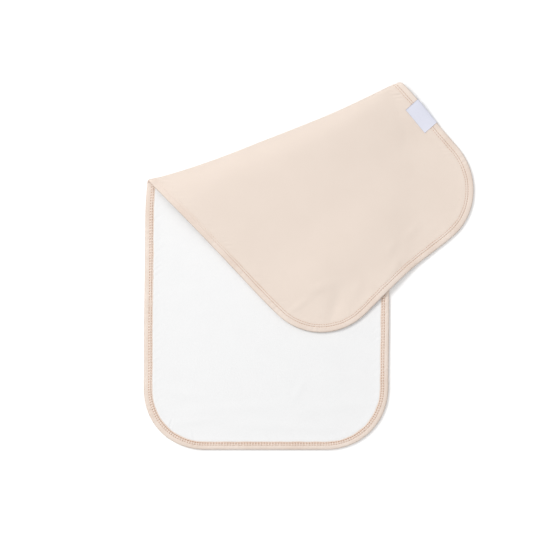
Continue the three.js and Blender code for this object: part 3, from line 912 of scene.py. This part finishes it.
def terry_material():
    """The white absorbent cloth: small loops and fuzz."""

    def height(tree):
        place, _, _ = flat_place(tree)
        cells = tree.nodes.new("ShaderNodeTexVoronoi")
        tree.links.new(place, cells.inputs["Vector"])
        cells.inputs["Scale"].default_value = 1 / (1.1 * MM)
        loops = calc(tree, "SUBTRACT", 1.0, cells.outputs["Distance"])
        fuzz = noise(tree, place, 0.5, 3.0, 0.6)
        return calc(tree, "MULTIPLY_ADD", fuzz, 0.6, calc(tree, "MULTIPLY", loops, 0.45))

    def tone_and_painted_shade(tree, relief):
        place, _, _ = flat_place(tree)
        broad = noise(tree, place, 22.0)
        # Painted shade: the hollows between the loops, where the relief is low, lean to the shade
        # colour; broad is tone that differs at random.
        return calc(tree, "MULTIPLY_ADD", relief, -0.5, calc(tree, "MULTIPLY_ADD", broad, 0.4, 0.35))

    return cloth_material(
        "white_terry", (0.815, 0.815, 0.815), (0.755, 0.755, 0.76), 0.95, 0.3, height, tone_and_painted_shade, 0.5, 0.35
    )


def thread_material(name, colour, shade):
    """Sewing thread, with its plies' twist."""

    def height(tree):
        _, along, around = flat_place(tree)
        turns = calc(tree, "DIVIDE", along, 0.6 * MM)
        twist = calc(tree, "ADD", turns, calc(tree, "DIVIDE", around, MM))
        wave = calc(tree, "SINE", calc(tree, "MULTIPLY", twist, 2 * np.pi))
        return calc(tree, "MULTIPLY_ADD", wave, 0.5, 0.5)

    def tone_and_painted_shade(tree, relief):
        # Painted shade: the grooves between the plies take the shade colour.
        return calc(tree, "SUBTRACT", 1.0, relief)

    return cloth_material(name, colour, shade, 0.7, 0.1, height, tone_and_painted_shade, 0.4, 0.1)


def tape_material():
    """The label's fine woven tape."""

    def height(tree):
        place, across, along = flat_place(tree)
        ribs = calc(tree, "SINE", calc(tree, "MULTIPLY", across, 2 * np.pi / (0.55 * MM)))
        weft = calc(tree, "SINE", calc(tree, "MULTIPLY", along, 2 * np.pi / (0.4 * MM)))
        woven = calc(tree, "MULTIPLY_ADD", calc(tree, "MULTIPLY", ribs, weft), 0.3, 0.5)
        return calc(tree, "MULTIPLY_ADD", noise(tree, place, 0.6), 0.2, woven)

    def tone_and_painted_shade(tree, relief):
        # Painted shade: the low parts of the weave take the shade colour.
        return calc(tree, "SUBTRACT", 1.0, relief)

    return cloth_material(
        "label_tape", (0.72, 0.73, 0.82), (0.64, 0.65, 0.75), 0.6, 0.1, height, tone_and_painted_shade, 0.4, 0.12
    )


def stage():
    """A plain pale floor that runs out of the picture."""
    size = 12.0
    drop = 0.0001
    mesh = bpy.data.meshes.new("floor")
    corners = [(x * size, y * size, -drop) for x, y in ((-1, -1), (1, -1), (1, 1), (-1, 1))]
    mesh.from_pydata(corners, [], [(0, 1, 2, 3)])
    material = bpy.data.materials.new("floor_white")
    material.use_nodes = True
    shader = material.node_tree.nodes["Principled BSDF"]
    shader.inputs["Base Color"].default_value = (0.96, 0.96, 0.96, 1)
    shader.inputs["Roughness"].default_value = 0.9
    shader.inputs["Specular IOR Level"].default_value = 0.1
    mesh.materials.append(material)
    floor = bpy.data.objects.new("floor", mesh)
    bpy.context.scene.collection.objects.link(floor)


# The view: straight down at the point of the cloth, in millimetres, that is in the picture's
# middle, and the camera's height and lens
VIEW_CENTRE = (0.0, 190.1)
CAMERA_HEIGHT = 1.31
PICTURE_WIDTH = 0.5543
SENSOR = 36.0


def camera():
    data = bpy.data.cameras.new("camera")
    data.sensor_width = SENSOR
    data.lens = SENSOR * CAMERA_HEIGHT / PICTURE_WIDTH
    eye = bpy.data.objects.new("camera", data)
    eye.location = (
        (VIEW_CENTRE[0] + SHIFT[0]) * MM,
        (VIEW_CENTRE[1] + SHIFT[1]) * MM,
        CAMERA_HEIGHT,
    )
    bpy.context.scene.collection.objects.link(eye)
    bpy.context.scene.camera = eye


# The soft key light from the upper left, and the even light all round
KEY_AZIMUTH = np.radians(146)
KEY_ELEVATION = np.radians(48)
KEY_DISTANCE = 2.6
KEY_SIZE = 1.0
KEY_POWER = 33.0
FILL_LOW = 0.08
FILL_ABOVE = 1.08


def lights():
    world = bpy.data.worlds.new("studio")
    world.use_nodes = True
    background = world.node_tree.nodes["Background"]
    background.inputs["Color"].default_value = (1, 1, 1, 1)
    tree = world.node_tree
    direction = tree.nodes.new("ShaderNodeTexCoord").outputs["Generated"]
    parts = tree.nodes.new("ShaderNodeSeparateXYZ")
    tree.links.new(direction, parts.inputs[0])
    upward = calc(tree, "MAXIMUM", parts.outputs["Z"], 0.0)
    wire(tree, background.inputs["Strength"], calc(tree, "MULTIPLY_ADD", upward, FILL_ABOVE, FILL_LOW))
    bpy.context.scene.world = world
    data = bpy.data.lights.new("key", "AREA")
    data.shape = "DISK"
    data.size = KEY_SIZE
    data.energy = KEY_POWER
    key = bpy.data.objects.new("key", data)
    direction = np.array([
        np.cos(KEY_AZIMUTH) * np.cos(KEY_ELEVATION),
        np.sin(KEY_AZIMUTH) * np.cos(KEY_ELEVATION),
        np.sin(KEY_ELEVATION),
    ])
    key.location = direction * KEY_DISTANCE
    key.rotation_euler = key.location.to_track_quat("Z", "Y").to_euler()
    bpy.context.scene.collection.objects.link(key)


def build():
    peach = knit_material("peach_jersey", (0.768, 0.663, 0.585), (0.722, 0.617, 0.538), 0.9, 0.7)
    # Painted shade on the binding: strips painted towards its darker shade colour, between the white
    # side's stitches and round the edge's turn.
    painted_shade_strips = ((*painted_stitch_shade(), 0.8, 0.16), (*painted_edge_shade(), 0.9, 0.5))
    ribbed = knit_material(
        "peach_binding", (0.835, 0.747, 0.678), (0.60, 0.44, 0.34), 0.8, 0.8, painted_shade_strips
    )
    # Painted shade: the needle thread is coloured dark brown for the shadow in the needle lines'
    # grooves, darker than the thread's own peach.
    needle_thread_painted_shade = thread_material("needle_thread_painted_shade", (0.56, 0.35, 0.24), (0.48, 0.28, 0.18))
    looper_thread = thread_material("looper_thread", (0.88, 0.76, 0.68), (0.78, 0.64, 0.55))
    panel("knit_front", FRONT_OUTER, -HALF_GAP, peach, "front_panel")
    panel("absorbent_back", BACK_OUTER, HALF_GAP, terry_material(), "back_panel")
    binding(ribbed)
    needle_rows = (
        ("front_stitches", FRONT_LINES, FRONT_LEG, -1, FRONT_RADII),
        ("back_stitches", BACK_LINES, BACK_LEG, 1, BACK_RADII),
    )
    for row in needle_rows:
        row_stitches(*row, needle_thread_painted_shade, "binding_knit")
    ladder_stitches(looper_thread)
    label(tape_material())


camera()
build()
stage()
lights()
bpy.context.scene.view_settings.view_transform = "Standard"
